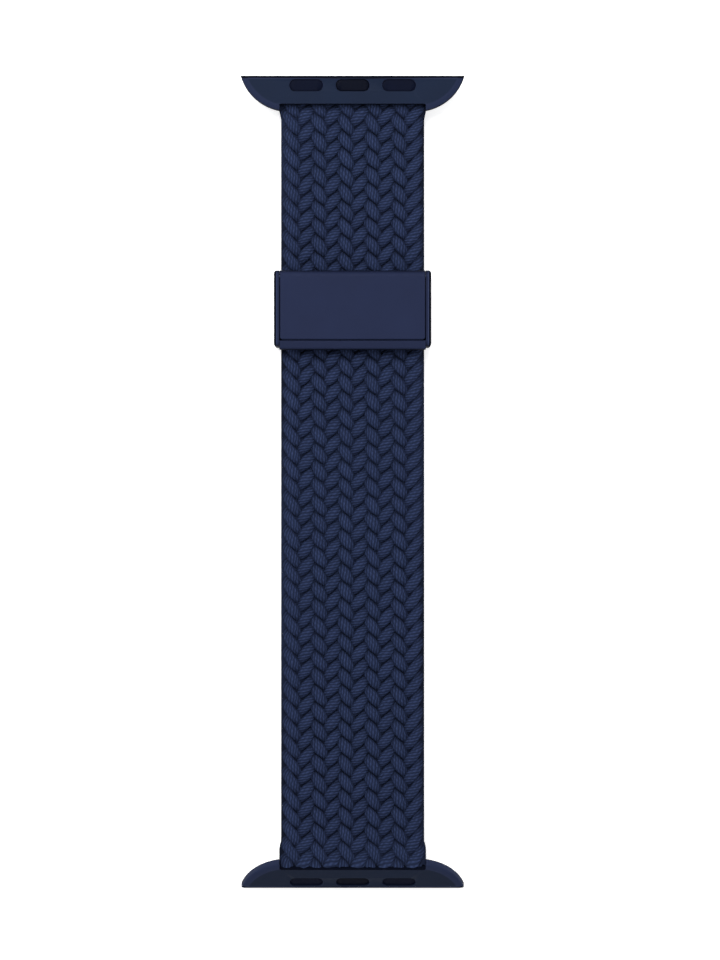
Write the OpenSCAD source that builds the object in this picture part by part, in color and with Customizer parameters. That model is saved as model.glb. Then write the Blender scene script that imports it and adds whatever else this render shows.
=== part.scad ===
/* [Lengths] */
// Overall length, from the outer edge of one adapter to the outer edge of the other
overall_len = 133.3; // [120:0.1:160]
// Distance along the strap from the upper bar to the middle of the buckle
buckle_from_bar = 33.95; // [30:0.05:45]
// How far the buckle can be shifted each way against the upper loop
adjust_travel = 12; // [4:0.5:12]

/* [Band] */
// Width of the braided band
band_w = 23.5; // [18:0.1:26]
// Thickness of the braided band
band_t = 2.0; // [1.6:0.05:2.4]
// Thickness of the band where it is folded tightly round an adapter bar
fold_t = 1.5; // [1.2:0.05:1.6]
// Gap between the front run and the return run behind it
layer_gap = 0.4; // [0.3:0.05:1]
// Length of the folded tail behind the front run at the lower end
tail_len = 9.5; // [7:0.5:14]

/* [Adapters] */
// Distance from the bar axis to the outer edge of the adapter
lug_reach = 4.35; // [4.2:0.05:5]
// Height of the front face above the bar axis
face_h = 3.5; // [3.3:0.05:4]
// Thickness of the tongue that slides into the watch case
tongue_t = 3.1; // [2.9:0.05:3.3]
// Width of the adapter along its outer edge
lug_w = 36.7; // [36:0.1:38]
// Radius of the rounded wings, seen from the front
wing_r = 8.2; // [7.8:0.05:9]
// Distance from the bar axis to the inner end of the wings
wing_in = 1.45; // [1.3:0.05:1.5]
// How far the wing arc would run on past the inner end
wing_root = 0.05; // [0.05:0.05:0.4]
// Thickness of the wings along their edge
wing_t = 1.4; // [1.2:0.1:1.6]
// How far the wings' underside draws in from their edge
wing_draw = 1.8; // [1.5:0.1:2.4]
// Width of the rounded rim along the wings
rim_w = 1.3; // [0.8:0.1:1.6]
// How far the rim falls away below the face
rim_h = 0.4; // [0.2:0.05:0.6]
// Distance from the bar axis to the straight lip over the fold
lip_in = 0.32; // [0:0.02:0.6]
// Diameter of the adapter bar
bar_d = 1.3; // [1:0.05:1.4]
// Radius of the ears that hold the bar
ear_r = 1.2; // [1.1:0.05:1.4]
// Thickness of each ear
ear_t = 0.75; // [0.6:0.05:1]
// Depth of the blind hole in each ear
ear_hole = 0.5; // [0.3:0.05:0.5]
// Radius of the adapter's inner heel, under the outer edge
heel_r = 1.0; // [0.6:0.05:1.1]
// Angle at which the lower adapter hangs from its bar
lower_tilt = 42; // [20:1:44]

/* [Latch and pads] */
// Length of a pill shaped pocket
pill_l = 5.5; // [5:0.1:6]
// Width of a pill shaped pocket
pill_w = 1.9; // [1.7:0.05:2]
// Distance between the middles of neighbouring pockets
pill_pitch = 7.6; // [7:0.1:8]
// Distance from the outer edge to the middle of the pockets
pill_in = 1.56; // [1.5:0.02:1.7]
// Depth of the pockets
pocket_d = 1.45; // [1.3:0.05:1.5]
// Thickness of the soft side pads
pad_t = 1.2; // [0.9:0.05:1.25]
// Thickness of the sprung latch button
latch_t = 0.75; // [0.6:0.05:0.8]
// How far the latch button can be pressed in
latch_travel = 0.4; // [0.2:0.05:0.4]
// Outer diameter of a latch spring
spring_d = 0.8; // [0.7:0.05:0.85]
// Wire diameter of a latch spring
spring_wire = 0.14; // [0.1:0.02:0.16]
// Distance of each latch spring from the centre line
spring_x = 1.6; // [1.2:0.1:1.8]

/* [Buckle] */
// Length of the buckle along the strap
buckle_l = 13.1; // [12.5:0.1:15]
// Thickness of the side walls
wall_t = 0.9; // [0.8:0.05:1.2]
// Radius of the upright outer corners of the side walls
wall_corner_r = 0.5; // [0.3:0.05:0.55]
// Height of the side walls
wall_h = 6.9; // [6.7:0.05:7.5]
// Thickness of the floor behind the band
floor_t = 0.9; // [0.7:0.05:1.1]
// How far the front crossbar stands out beyond the side walls
crossbar_out = 0.45; // [0.2:0.05:0.6]
// Length of the front crossbar along the strap
crossbar_l = 1.5; // [1.2:0.1:2]
// Diameter of the cover hinge pin
pin_d = 1.2; // [1:0.05:1.3]
// Diameter of the back bar that carries the band end
back_bar_d = 1.0; // [0.8:0.05:1.1]
// Thickness of the sheet that the end clip is folded from
clip_t = 0.4; // [0.3:0.05:0.5]
// Length of the end clip from the back bar to its mouth
clip_l = 5.7; // [5:0.1:7]
// Thickness of the rubber under the ribs of the grip pad
pad_base = 0.6; // [0.4:0.05:0.7]
// Distance between the ribs of the grip pad
rib_step = 1.1; // [0.9:0.05:1.5]

/* [Cover and toothed jaw] */
// Thickness of the flip cover
cover_t = 0.95; // [0.8:0.05:1.1]
// How far the cover stands above the side walls
cover_proud = 0.2; // [0.1:0.05:0.4]
// Width of the toothed jaw
jaw_w = 21; // [18:0.5:21]
// Height of the teeth of the jaw
tooth_h = 0.45; // [0.3:0.05:0.5]
// Number of teeth in a row of the jaw
tooth_count = 13; // [8:1:15]
// Number of toothed ridges round the pin
ridge_count = 4; // [3:1:5]
// Width of the notch between neighbouring teeth
notch_w = 0.4; // [0.3:0.05:0.5]
// Diameter of the rivets that hold the jaw to the cover
rivet_d = 0.7; // [0.6:0.05:0.8]

/* [Clearances] */
// Gap between the braided band and rigid pieces beside or over it
soft_gap = 0.2; // [0.2:0.01:0.3]
// Gap between the tooth tips and the band
tooth_gap = 0.1; // [0.05:0.01:0.2]
// Radial clearance of a turning pin or bar
turn_gap = 0.05; // [0.02:0.01:0.08]
// Gap round the latch button
latch_gap = 0.05; // [0.03:0.01:0.08]
// Gap between the cover and the side walls and crossbar
cover_gap = 0.15; // [0.1:0.01:0.25]

/* [Hidden] */
$fn = 64;
eps = 0.01;
cut = 1;

navy = [0.15, 0.18, 0.30];
navy_braid = [0.17, 0.20, 0.34];
dark_pad = [0.09, 0.10, 0.16];
steel = [0.70, 0.71, 0.73];

// Heights of the layers
fold_r_in = bar_d / 2 + turn_gap;
fold_r_out = fold_r_in + fold_t;
bar_z = fold_r_out;
front_z0 = band_t + layer_gap;
front_z1 = front_z0 + band_t;
band_edge_r = 0.6;

// Places along the strap
half_len = overall_len / 2;
upper_bar_y = half_len - lug_reach;
edge_r = 0.35;
lower_out = (lug_reach - edge_r) * cos(lower_tilt) + (face_h - edge_r) * sin(lower_tilt) + edge_r;
lower_bar_y = -half_len + round(lower_out * 1000) / 1000;
buckle_y = upper_bar_y - buckle_from_bar;
buckle_y0 = buckle_y - buckle_l / 2;
buckle_y1 = buckle_y + buckle_l / 2;
fold_run = fold_r_out - 0.8;
upper_join_y = upper_bar_y - fold_run;
lower_join_y = lower_bar_y + fold_run;
band_split_y = upper_join_y - adjust_travel - cut;
bond_in = 1;
tail_y1 = lower_bar_y + tail_len;

// Adapter sizes: the fold is drawn in so far that the ears stay in line with the band's edges
fold_w = band_w - 2 * (ear_t + soft_gap);
mouth_w = fold_w + 2 * soft_gap;
slot_w = band_w + 2 * soft_gap;
bar_len = mouth_w + 2 * ear_hole;
scoop_r = fold_r_out + soft_gap + 0.1;
wing_out = wing_r - wing_in - wing_root - lug_reach;
wing_x = lug_w / 2 - sqrt(wing_r * wing_r - wing_out * wing_out);
pill_p = lug_reach - pill_in;
tongue_q = face_h - tongue_t;
tongue_p = 0.9;
lip_r = 0.3;
ear_run = 0.6;
ear_top = face_h - 0.8;
spring_p = pill_p + 0.26;
spring_q0 = tongue_q + 0.7;
spring_turns = 4;
spring_bore_d = spring_d + 0.2;
stem_d = spring_d - 2 * spring_wire - 0.15;
stem_h = 0.5;
pocket_q = face_h - pocket_d;
latch_q = pocket_q + latch_travel + turn_gap;

// Buckle sizes
inner_w = slot_w;
outer_w = inner_w + 2 * wall_t;
cover_y1 = buckle_y1 - 0.15;
wall_y0 = buckle_y0 + crossbar_out;
wall_y1 = cover_y1;
wall_top_r = 1.0;
wall_foot_r = 0.5;
edge_cut = 0.2;
crossbar_r = 0.4;
crossbar_lip_r = 0.15;
crossbar_z0 = front_z1 + soft_gap + 0.15;
floor_y0 = buckle_y0 + 0.6;
cover_w = inner_w - 2 * cover_gap;
cover_z1 = wall_h + cover_proud;
cover_z0 = cover_z1 - cover_t;
hinge_r = cover_t + 0.1;
hinge_z = cover_z1 - hinge_r;
hinge_y = cover_y1 - hinge_r;
cover_y0 = buckle_y0 + crossbar_l + cover_gap;
cover_corner_r = 0.6;
cover_edge_r = 0.3;
knuckle_root = 1.5;

// Jaw sizes
tooth_tip_r = hinge_z - front_z1 - tooth_gap;
tooth_root_r = tooth_tip_r - tooth_h;
ridge_spread = 76;
jaw_foot_l = 3.6;
jaw_foot_t = 0.5;
jaw_foot_free = 1.7;
jaw_neck = jaw_foot_l - jaw_foot_free;
jaw_back_r = hinge_r - 0.1;
jaw_back_angle = -40;
knuckle_w = 1.6;
knuckle_x = jaw_w / 2 - knuckle_w;
jaw_body_w = 2 * knuckle_x - 2 * turn_gap;
rivet_y = hinge_y - jaw_foot_l + rivet_d + 0.2;
rivet_top = cover_z0 + 0.4;
rivet_head_d = rivet_d + 0.5;
rivet_head_h = 0.3;

// Clip and grip pad sizes
clip_r = back_bar_d / 2 + turn_gap + clip_t;
clip_top_z = 2 * clip_r;
tab_t = clip_top_z - 2 * clip_t;
back_bar_y = buckle_y1 - 1.2;
back_bar_z = clip_r;
clip_in = 0.85;
clip_w = band_w - 2 * clip_in;
clip_y1 = back_bar_y + clip_l;
tab_y0 = back_bar_y + clip_r + 0.25;
tab_y1 = clip_y1 + clip_t;
floor_y1 = back_bar_y - clip_r - 0.5;
pad_in = 0.5;
pad_y0 = buckle_y0 + crossbar_l + pad_in;
pad_y1 = floor_y1 - pad_in;
pad_z = floor_t + pad_base;
rib_top_z = front_z0 - soft_gap - 0.1;
rib_gap = 0.2;
rib_top_w = 0.3;

function arc_points(cx, cy, r, a0, a1, n) =
    [for (i = [0:n]) let (a = a0 + (a1 - a0) * i / n) [cx + r * cos(a), cy + r * sin(a)]];

// A profile given as (along the strap, height) is drawn out across the width
module across(w, x0 = undef) {
    start = is_undef(x0) ? -w / 2 : x0;
    translate([start, 0, 0])
        rotate([90, 0, 90])
            linear_extrude(w) children();
}

// A profile given as (across the width, height) is drawn out along the strap
module along(y0, y1) {
    translate([0, y1, 0])
        rotate([90, 0, 0])
            linear_extrude(y1 - y0) children();
}

module block(x0, x1, y0, y1, z0, z1) {
    translate([x0, y0, z0]) cube([x1 - x0, y1 - y0, z1 - z0]);
}

module rod(len, d) {
    translate([-len / 2, 0, 0]) rotate([0, 90, 0]) cylinder(h = len, d = d);
}

module pill_2d(l, w) {
    square([l - w, w], center = true);
    for (s = [-1, 1]) translate([s * (l - w) / 2, 0]) circle(d = w);
}

// A helical wire with closed round section, swept as one surface
module coil(r, wire, turns, height, steps = 10, sides = 6) {
    n = turns * steps;
    rings = [for (i = [0:n])
        let (a = 360 * i / steps, z = height * i / n)
            for (k = [0:sides - 1])
                let (b = 360 * k / sides, d = r + wire / 2 * cos(b))
                    [d * cos(a), d * sin(a), z + wire / 2 * sin(b)]];
    walls = [for (i = [0:n - 1]) for (k = [0:sides - 1])
        let (a = i * sides + k, b = i * sides + (k + 1) % sides)
            each [[a, b + sides, b], [a, a + sides, b + sides]]];
    first = [for (k = [1:sides - 2]) [0, k, k + 1]];
    last = [for (k = [1:sides - 2]) [n * sides, n * sides + k + 1, n * sides + k]];
    polyhedron(points = rings, faces = concat(walls, first, last));
}

// Band

// A straight stretch of the flat braid, with its selvages rounded off
module run(w, y0, y1, z0) {
    r = band_edge_r;
    along(y0, y1)
        polygon(concat(
            arc_points(w / 2 - r, z0 + r, r, -90, 0, 3),
            arc_points(w / 2 - r, z0 + band_t - r, r, 0, 90, 3),
            arc_points(-w / 2 + r, z0 + band_t - r, r, 90, 180, 3),
            arc_points(-w / 2 + r, z0 + r, r, 180, 270, 3)
        ));
}

module front_band() {
    color(navy_braid) run(band_w, lower_join_y, band_split_y, front_z0);
}

module front_band_upper() {
    color(navy_braid) run(band_w, band_split_y, upper_join_y, front_z0);
}

// Half ring round the bar, with short straight ends that meet the runs
module fold_profile() {
    difference() {
        circle(r = fold_r_out);
        circle(r = fold_r_in);
        translate([-fold_r_out - cut, -fold_r_out - cut])
            square([fold_r_out + cut, 2 * (fold_r_out + cut)]);
    }
    for (q = [fold_r_in, -fold_r_out])
        translate([-fold_run, q]) square([fold_run, fold_t]);
}

module upper_fold() {
    color(navy_braid)
        translate([0, upper_bar_y, bar_z])
            across(fold_w) fold_profile();
}

module lower_fold() {
    color(navy_braid) {
        translate([0, lower_bar_y, bar_z])
            across(fold_w) mirror([1, 0]) fold_profile();
        run(band_w, lower_join_y, tail_y1, 0);
    }
}

module tail_bond_strip() {
    color(dark_pad)
        block(-band_w / 2 + bond_in, band_w / 2 - bond_in, lower_join_y + bond_in,
            tail_y1 - bond_in / 2, band_t, front_z0);
}

module return_band() {
    color(navy_braid) run(band_w, tab_y1, upper_join_y, 0);
}

module band_end() {
    color(navy_braid)
        block(-clip_w / 2, clip_w / 2, tab_y0, tab_y1, clip_t, clip_t + tab_t);
}

// Adapters, drawn about the bar axis: p runs outwards and q runs up

module lug_side() {
    polygon(concat(
        [[tongue_p, tongue_q], [-wing_in, face_h - wing_t]],
        arc_points(-wing_in + lip_r, face_h - lip_r, lip_r, 180, 90, 4),
        arc_points(lug_reach - edge_r, face_h - edge_r, edge_r, 90, 0, 5),
        arc_points(lug_reach - heel_r, tongue_q + heel_r, heel_r, 0, -90, 6)
    ));
}

module ear_side() {
    circle(r = ear_r);
    polygon([[-lip_in, 0], [-lip_in, ear_top], [ear_r + ear_run, ear_top], [ear_r, 0]]);
}

// Outline seen from the front: a straight outer edge and two quarter round wings
module lug_plan() {
    a0 = -asin(wing_out / wing_r);
    a1 = -asin((wing_r - wing_root) / wing_r);
    right = arc_points(wing_x, lug_reach + wing_out, wing_r, a0, a1, 24);
    left = [for (i = [len(right) - 1:-1:0]) [-right[i][0], right[i][1]]];
    polygon(concat(right, left));
}

// Turned form of a wing: its underside draws in, and its rim rounds down from the face
module wing_form() {
    steps = 5;
    low = wing_r - wing_draw;
    rim = [for (i = [0:steps]) let (a = 90 * i / steps)
        [wing_r - rim_w * (1 - cos(a)), face_h - rim_h + (rim_h + eps) * sin(a)]];
    rotate_extrude()
        polygon(concat([[0, -cut], [low, -cut], [low, tongue_q], [wing_r, face_h - wing_t]],
            rim, [[0, face_h + eps]]));
}

module lug_body() {
    wide = lug_w + 2 * cut;
    difference() {
        union() {
            intersection() {
                across(wide) lug_side();
                translate([0, 0, -cut]) linear_extrude(face_h + 2 * cut) lug_plan();
                union() {
                    block(-wing_x, wing_x, -wing_in - cut, lug_reach + cut, -cut, face_h + cut);
                    for (s = [-1, 1]) translate([s * wing_x, lug_reach + wing_out, 0]) wing_form();
                }
            }
            for (s = [-1, 1])
                across(ear_t, s * (mouth_w / 2 + ear_t / 2) - ear_t / 2) ear_side();
        }
        // Mouth for the fold, with a scoop that clears it as the adapter swings
        rod(mouth_w, 2 * scoop_r);
        block(-mouth_w / 2, mouth_w / 2, -wing_in - cut, 0, -ear_r - cut, scoop_r);
        // Notch for the full width of the band in front of the lip
        block(-slot_w / 2, slot_w / 2, -wing_in - cut, -lip_in, ear_r, face_h + cut);
        rod(bar_len, bar_d);
        for (i = [-1:1])
            translate([i * pill_pitch, pill_p, pocket_q])
                linear_extrude(pocket_d + cut) pill_2d(pill_l, pill_w);
        for (s = [-1, 1])
            translate([s * spring_x, spring_p, spring_q0])
                cylinder(h = pocket_q - spring_q0 + eps, d = spring_bore_d);
    }
}

module lug_bar() {
    rod(bar_len, bar_d);
}

module side_pad(side) {
    translate([side * pill_pitch, pill_p, pocket_q])
        linear_extrude(pad_t) pill_2d(pill_l, pill_w);
}

module latch_button() {
    translate([0, pill_p, latch_q]) {
        linear_extrude(latch_t) pill_2d(pill_l - 2 * latch_gap, pill_w - 2 * latch_gap);
        // Stems that the springs sit round
        for (s = [-1, 1])
            translate([s * spring_x, spring_p - pill_p, -stem_h])
                cylinder(h = stem_h, d = stem_d);
    }
}

module latch_springs() {
    for (s = [-1, 1])
        translate([s * spring_x, spring_p, spring_q0 + spring_wire / 2 + eps])
            coil(spring_d / 2 - spring_wire / 2, spring_wire, spring_turns,
                latch_q - spring_q0 - spring_wire - 2 * eps);
}

module at_upper() {
    translate([0, upper_bar_y, bar_z]) children();
}

// The lower adapter points the other way and hangs down from its bar
module at_lower() {
    translate([0, lower_bar_y, bar_z])
        rotate([lower_tilt, 0, 0])
            rotate([0, 0, 180]) children();
}

module upper_lug_body() { color(navy) at_upper() lug_body(); }
module upper_lug_bar() { color(steel) at_upper() lug_bar(); }
module upper_left_pad() { color(dark_pad) at_upper() side_pad(-1); }
module upper_right_pad() { color(dark_pad) at_upper() side_pad(1); }
module upper_latch_button() { color(dark_pad) at_upper() latch_button(); }
module upper_latch_springs() { color(steel) at_upper() latch_springs(); }
module lower_lug_body() { color(navy) at_lower() lug_body(); }
module lower_lug_bar() { color(steel) at_lower() lug_bar(); }
module lower_left_pad() { color(dark_pad) at_lower() side_pad(1); }
module lower_right_pad() { color(dark_pad) at_lower() side_pad(-1); }
module lower_latch_button() { color(dark_pad) at_lower() latch_button(); }
module lower_latch_springs() { color(steel) at_lower() latch_springs(); }

// Buckle

module wall_side() {
    polygon(concat(
        arc_points(wall_y0 + wall_foot_r, wall_foot_r, wall_foot_r, 180, 270, 4),
        arc_points(wall_y1 - wall_foot_r, wall_foot_r, wall_foot_r, 270, 360, 4),
        arc_points(wall_y1 - wall_top_r, wall_h - wall_top_r, wall_top_r, 0, 90, 6),
        arc_points(wall_y0 + wall_top_r, wall_h - wall_top_r, wall_top_r, 90, 180, 6)
    ));
}

module crossbar_side() {
    y1 = buckle_y0 + crossbar_l;
    polygon(concat(
        arc_points(buckle_y0 + crossbar_r, crossbar_z0 + crossbar_r, crossbar_r, 180, 270, 4),
        [[y1, crossbar_z0]],
        arc_points(y1 - crossbar_lip_r, wall_h - crossbar_lip_r, crossbar_lip_r, 0, 90, 3),
        arc_points(buckle_y0 + crossbar_r, wall_h - crossbar_r, crossbar_r, 90, 180, 5)
    ));
}

// Box section seen from the end, with its four outer edges broken
module frame_section() {
    h = outer_w / 2;
    c = edge_cut;
    polygon([
        [-h + c, 0], [h - c, 0], [h, c], [h, wall_h - c],
        [h - c, wall_h], [-h + c, wall_h], [-h, wall_h - c], [-h, c]
    ]);
}

// Outline of the walls seen from the front, with the outer corners rounded
module frame_plan() {
    r = wall_corner_r;
    x = outer_w / 2 - r;
    y0 = wall_y0 + r;
    y1 = wall_y1 - r;
    polygon(concat(
        arc_points(x, y0, r, -90, 0, 5), arc_points(x, y1, r, 0, 90, 5),
        arc_points(-x, y1, r, 90, 180, 5), arc_points(-x, y0, r, 180, 270, 5)
    ));
}

module buckle_frame() {
    color(navy)
        difference() {
            union() {
                intersection() {
                    for (s = [-1, 1])
                        across(wall_t, s * (inner_w + wall_t) / 2 - wall_t / 2) wall_side();
                    along(buckle_y0 - cut, buckle_y1 + cut) frame_section();
                    linear_extrude(wall_h + cut) frame_plan();
                }
                across(inner_w + 2 * eps) crossbar_side();
                block(-inner_w / 2 - eps, inner_w / 2 + eps, floor_y0, floor_y1, 0, floor_t);
            }
            translate([0, hinge_y, hinge_z]) rod(outer_w + 2 * cut, pin_d);
            translate([0, back_bar_y, back_bar_z]) rod(outer_w + 2 * cut, back_bar_d);
        }
}

module cover_pin() {
    color(steel) translate([0, hinge_y, hinge_z]) rod(outer_w, pin_d);
}

module back_bar() {
    color(steel) translate([0, back_bar_y, back_bar_z]) rod(outer_w, back_bar_d);
}

// Ribbed pad under the band, which the toothed jaw presses the band against
module grip_pad() {
    ribs = floor((pad_y1 - pad_y0) / rib_step);
    pitch = (pad_y1 - pad_y0) / ribs;
    color(dark_pad) {
        block(-jaw_w / 2, jaw_w / 2, pad_y0, pad_y1, floor_t, pad_z);
        for (i = [0:ribs - 1])
            translate([0, pad_y0 + (i + 0.5) * pitch, 0])
                across(jaw_w)
                    polygon([
                        [-(pitch - rib_gap) / 2, pad_z - eps], [(pitch - rib_gap) / 2, pad_z - eps],
                        [rib_top_w / 2, rib_top_z], [-rib_top_w / 2, rib_top_z]
                    ]);
    }
}

// Sheet clip that is curled round the back bar and pressed on to the band end
module end_clip() {
    color(steel)
        difference() {
            union() {
                translate([0, back_bar_y, back_bar_z]) rod(clip_w, 2 * clip_r);
                block(-clip_w / 2, clip_w / 2, back_bar_y, clip_y1, 0, clip_top_z);
            }
            translate([0, back_bar_y, back_bar_z]) rod(clip_w + cut, back_bar_d + 2 * turn_gap);
            block(-clip_w / 2 - cut, clip_w / 2 + cut, tab_y0, clip_y1 + cut, clip_t,
                clip_t + tab_t);
        }
}

// Cover and jaw

module cover_side() {
    r = cover_edge_r;
    polygon(concat(
        arc_points(hinge_y, hinge_z, hinge_r, 90, -90, 12),
        [[hinge_y - pin_d, hinge_z - hinge_r + 0.2], [hinge_y - knuckle_root, cover_z0]],
        [[cover_y0 + 0.2, cover_z0]],
        arc_points(cover_y0 + r, cover_z1 - r, r, 180, 90, 4)
    ));
}

module cover_plan() {
    r = cover_corner_r;
    half = cover_w / 2;
    polygon(concat(
        arc_points(-half + r, cover_y0 + r, r, 180, 270, 5),
        arc_points(half - r, cover_y0 + r, r, 270, 360, 5),
        [[half, buckle_y1 + cut], [-half, buckle_y1 + cut]]
    ));
}

// Section of the cover seen from the end, with its two long edges rounded
module cover_section() {
    r = edge_cut;
    half = cover_w / 2;
    low = hinge_z - hinge_r - cut;
    polygon(concat(
        [[-half, low], [half, low]],
        arc_points(half - r, cover_z1 - r, r, 0, 90, 3),
        arc_points(-half + r, cover_z1 - r, r, 90, 180, 3)
    ));
}

module flip_cover() {
    low = hinge_z - hinge_r - cut;
    color(navy)
        difference() {
            intersection() {
                across(cover_w) cover_side();
                translate([0, 0, low]) linear_extrude(2 * (hinge_r + cut)) cover_plan();
                along(cover_y0 - cut, buckle_y1 + cut) cover_section();
            }
            // Room for the jaw between the two hinge knuckles
            block(-knuckle_x - turn_gap, knuckle_x + turn_gap, hinge_y - 2 * knuckle_root,
                buckle_y1 + cut, low, cover_z0);
            translate([0, hinge_y, hinge_z]) rod(cover_w + 2 * cut, pin_d + 2 * turn_gap);
            at_rivets(cover_z0 - cut) cylinder(h = rivet_top - cover_z0 + cut, d = rivet_d);
        }
}

// Cam that turns with the cover: ridges round the pin, cut across into separate teeth
module jaw_side() {
    step = ridge_spread / ridge_count;
    first = -90 - ridge_spread / 2;
    last = -90 + ridge_spread / 2;
    top_z = cover_z0 - hinge_z;
    foot_z = top_z - jaw_foot_t;
    tips = [for (i = [0:ridge_count - 1])
        let (a = first + i * step)
            each [
                tooth_root_r * [cos(a), sin(a)],
                tooth_tip_r * [cos(a + step / 2), sin(a + step / 2)]
            ]];
    polygon(concat(
        [[-jaw_foot_l, top_z], [-jaw_foot_l, foot_z], [-jaw_neck, foot_z]],
        tips,
        [tooth_root_r * [cos(last), sin(last)]],
        arc_points(0, 0, jaw_back_r, jaw_back_angle, asin(top_z / jaw_back_r), 6)
    ));
}

module toothed_jaw() {
    pitch = jaw_body_w / tooth_count;
    color(steel)
        difference() {
            translate([0, hinge_y, hinge_z]) across(jaw_body_w) jaw_side();
            at_rivets(cover_z0 - jaw_foot_t - cut) cylinder(h = jaw_foot_t + 2 * cut, d = rivet_d);
            translate([0, hinge_y, hinge_z]) rod(jaw_body_w + 2 * cut, pin_d + 2 * turn_gap);
            for (i = [1:tooth_count - 1])
                translate([-jaw_body_w / 2 + i * pitch, hinge_y, hinge_z])
                    block(-notch_w / 2, notch_w / 2, -tooth_tip_r, tooth_tip_r,
                        -tooth_tip_r - cut, -tooth_root_r + turn_gap);
        }
}

module at_rivets(z) {
    for (s = [-1, 1]) translate([s * jaw_w / 4, rivet_y, z]) children();
}

module jaw_rivets() {
    foot_z = cover_z0 - jaw_foot_t;
    color(steel)
        at_rivets(foot_z) {
            cylinder(h = rivet_top - foot_z, d = rivet_d);
            translate([0, 0, -rivet_head_h]) cylinder(h = rivet_head_h, d = rivet_head_d);
        }
}

front_band();
lower_fold();
tail_bond_strip();
front_band_upper();
upper_fold();
return_band();
band_end();
end_clip();
buckle_frame();
back_bar();
cover_pin();
grip_pad();
flip_cover();
toothed_jaw();
jaw_rivets();
upper_lug_body();
upper_lug_bar();
upper_left_pad();
upper_right_pad();
upper_latch_button();
upper_latch_springs();
lower_lug_body();
lower_lug_bar();
lower_left_pad();
lower_right_pad();
lower_latch_button();
lower_latch_springs();
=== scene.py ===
"""Braided nylon watch strap on a pale studio floor.

The braid's strands are interlaced. The adapters and the flip-lock buckle have a satin navy finish."""

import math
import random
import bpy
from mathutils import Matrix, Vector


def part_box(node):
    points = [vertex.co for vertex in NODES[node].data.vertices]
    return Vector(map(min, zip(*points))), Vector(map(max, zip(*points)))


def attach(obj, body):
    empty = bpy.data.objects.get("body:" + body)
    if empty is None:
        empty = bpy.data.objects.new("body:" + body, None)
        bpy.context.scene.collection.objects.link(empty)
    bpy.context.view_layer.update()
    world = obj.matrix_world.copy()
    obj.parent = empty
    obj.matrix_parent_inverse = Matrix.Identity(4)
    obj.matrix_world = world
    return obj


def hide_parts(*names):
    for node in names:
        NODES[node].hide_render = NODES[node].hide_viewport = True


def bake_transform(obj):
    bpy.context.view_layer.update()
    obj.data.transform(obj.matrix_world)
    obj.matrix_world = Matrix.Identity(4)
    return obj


bl_info = {
    "name": "Braided Watch Strap",
    "version": (1, 0, 0),
    "blender": (4, 5, 0),
    "location": "3D View > Sidebar > Watch Strap",
    "description": "Builds the braid and the finishes of a watch strap round its packed model",
    "category": "Object",
}

import bpy
import numpy as np
from mathutils import Matrix, Vector, noise

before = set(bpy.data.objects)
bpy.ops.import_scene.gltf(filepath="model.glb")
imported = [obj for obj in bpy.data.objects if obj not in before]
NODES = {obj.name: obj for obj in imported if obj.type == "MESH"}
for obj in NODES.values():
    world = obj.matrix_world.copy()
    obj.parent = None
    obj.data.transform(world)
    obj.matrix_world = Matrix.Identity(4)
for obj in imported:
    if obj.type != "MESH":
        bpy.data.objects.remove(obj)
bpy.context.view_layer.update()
MM = 0.001
ACROSS = Vector((1, 0, 0))
ALONG = Vector((0, 1, 0))

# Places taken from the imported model


def middle(node):
    """Centre of a node's box."""
    low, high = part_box(node)
    return (low + high) / 2


def facing(node):
    """Direction of a node's largest flat face, taken upwards."""
    widest = max(NODES[node].data.polygons, key=lambda face: face.area)
    normal = NODES[node].matrix_world.to_3x3() @ widest.normal
    return normal if normal.z > 0 else -normal


UPPER_BAR = middle("upper_lug_bar")
LOWER_BAR = middle("lower_lug_bar")
BAND_LOW, BAND_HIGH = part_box("front_band")
BAND_W = BAND_HIGH.x - BAND_LOW.x
BAND_T = BAND_HIGH.z - BAND_LOW.z
TAIL_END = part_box("lower_fold")[1].y

# The folds round the bars: outer radius, run beside the bar, and how thin and narrow the braid gets
FOLD_R = UPPER_BAR.z
FOLD_LOW, FOLD_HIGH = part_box("upper_fold")
FOLD_RUN = UPPER_BAR.y - FOLD_LOW.y
FOLD_PRESS = 0.75
FOLD_NARROW = (FOLD_HIGH.x - FOLD_LOW.x) / BAND_W

# The band's end in the clip
CLIP_LOW, CLIP_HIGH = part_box("band_end")
CLIP_PRESS = (CLIP_HIGH.z - CLIP_LOW.z) / BAND_T
CLIP_NARROW = (CLIP_HIGH.x - CLIP_LOW.x) / BAND_W

# Where the strip of braid, measured along its outer side from the tail, meets each bend
STRIP_LOWER = TAIL_END - LOWER_BAR.y
STRIP_FRONT = STRIP_LOWER + math.pi * FOLD_R
STRIP_UPPER = STRIP_FRONT + UPPER_BAR.y - LOWER_BAR.y
STRIP_RETURN = STRIP_UPPER + math.pi * FOLD_R
STRIP_JOIN = STRIP_RETURN + FOLD_RUN
STRIP_END = STRIP_RETURN + UPPER_BAR.y - CLIP_LOW.y

# Run beyond a fold over which the braid gets its full thickness back
RELAX_RUN = 2 * MM

# How far from the clip its pressing starts, and the run over which it grows
PRESS_START = 1.6 * MM
PRESS_RUN = 1.8 * MM

# Where the strip is drawn in between the ears of an adapter: (mark along it, share)
DRAWN_IN = (
    (STRIP_LOWER - FOLD_RUN, 0),
    (STRIP_LOWER, 1),
    (STRIP_FRONT - 1.3 * FOLD_R, 1),
    (STRIP_FRONT - 0.85 * FOLD_R, 0),
    (STRIP_UPPER - 0.1 * MM, 0),
    (STRIP_UPPER + 0.7 * MM, 1),
    (STRIP_RETURN, 1),
    (STRIP_RETURN + FOLD_RUN, 0),
)

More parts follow.
